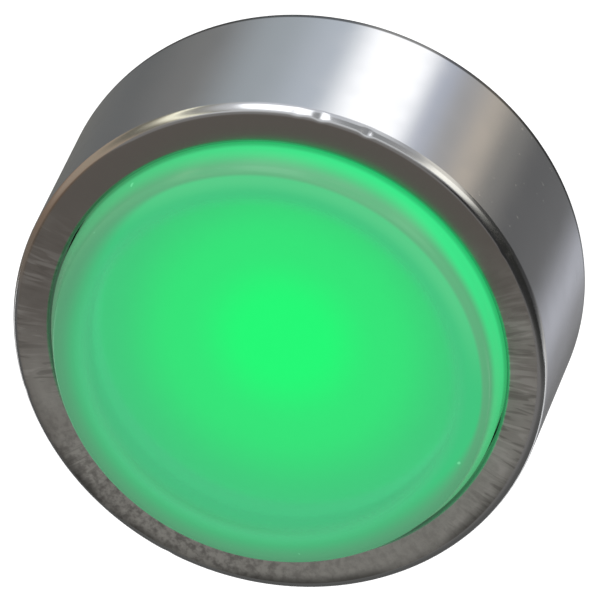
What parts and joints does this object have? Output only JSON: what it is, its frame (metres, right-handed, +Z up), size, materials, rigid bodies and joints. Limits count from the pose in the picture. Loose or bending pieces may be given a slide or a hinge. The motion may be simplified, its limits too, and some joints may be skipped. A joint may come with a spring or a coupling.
{
  "type": "illuminated pushbutton switch",
  "caption": "Round panel-mount pushbutton switch: a lit green lens in a deep chrome bezel, on a threaded barrel with a sprung plunger, a momentary contact and push-on tabs.",
  "frame": {"origin": "centre of the panel seat, in the plane where the bezel's rear rim meets the panel", "axes": "+Y from the user through the panel, so the lens faces -Y; +Z up; +X to the right seen from the front"},
  "size_m": [0.03, 0.0259, 0.03],
  "materials": {
    "chrome_plate": "polished chrome plate with a worn front face",
    "green_lens": "translucent green, lit from behind, satin gloss",
    "opal_plastic": "opal, light spreading",
    "white_plastic": "moulded, satin",
    "black_rubber": "moulded, matte",
    "black_plastic": "glass-filled moulding, matte",
    "grey_plastic": "glass-filled moulding, matte",
    "spring_steel": "drawn wire",
    "plated_steel": "zinc plated",
    "circuit_board": "solder mask",
    "diode_resin": "clear resin",
    "chip_ceramic": "glazed chip with tinned ends",
    "brass_strip": "rolled brass strip",
    "copper_strip": "rolled copper alloy strip",
    "silver_contact": "silver alloy, coined"
  },
  "bodies": {
    "housing": {"bezel": "chrome_plate", "barrel": "black_plastic", "panel_gasket": "black_rubber", "wiper_seal": "black_rubber", "return_spring": "spring_steel", "switch_base": "grey_plastic", "contact_terminal_left": "brass_strip", "contact_terminal_right": "brass_strip", "led_terminal_upper": "brass_strip", "led_terminal_lower": "brass_strip", "fixed_contact_left": "silver_contact", "fixed_contact_right": "silver_contact", "led_board": "circuit_board", "led": "diode_resin", "led_resistor": "chip_ceramic"},
    "button": {"lens": "green_lens", "diffuser": "opal_plastic", "lens_holder": "white_plastic", "contact_carrier": "white_plastic"},
    "bridge": {"contact_bridge": "copper_strip", "moving_contact_left": "silver_contact", "moving_contact_right": "silver_contact", "contact_spring": "spring_steel"},
    "washer": {"lock_washer": "plated_steel"},
    "nut": {"ring_nut": "plated_steel"}
  },
  "joints": [
    {"name": "button_press", "type": "slide", "parent": "housing", "child": "button", "axis": [0, 1, 0], "range_m": [0, 0.003], "stiffness_N_per_m": 900, "springref_m": -0.0025, "deforming": ["return_spring"]},
    {"name": "bridge_travel", "type": "slide", "parent": "button", "child": "bridge", "axis": [0, 1, 0], "range_m": [-0.0015, 0], "deforming": ["contact_spring"]},
    {"name": "washer_slide", "type": "slide", "parent": "housing", "child": "washer", "axis": [0, 1, 0], "range_m": [-0.0005, 0.0045]},
    {"name": "nut_turn", "type": "hinge", "parent": "washer", "child": "nut", "pos_m": [0, 0, 0], "axis": [0, 1, 0], "range_deg": [-180, 1620]}
  ],
  "couplings": [
    {"joint": "bridge_travel", "follows": "button_press", "ratio": -0.5},
    {"joint": "nut_turn", "follows": "washer_slide", "rad_per_m": 6283.2}
  ]
}
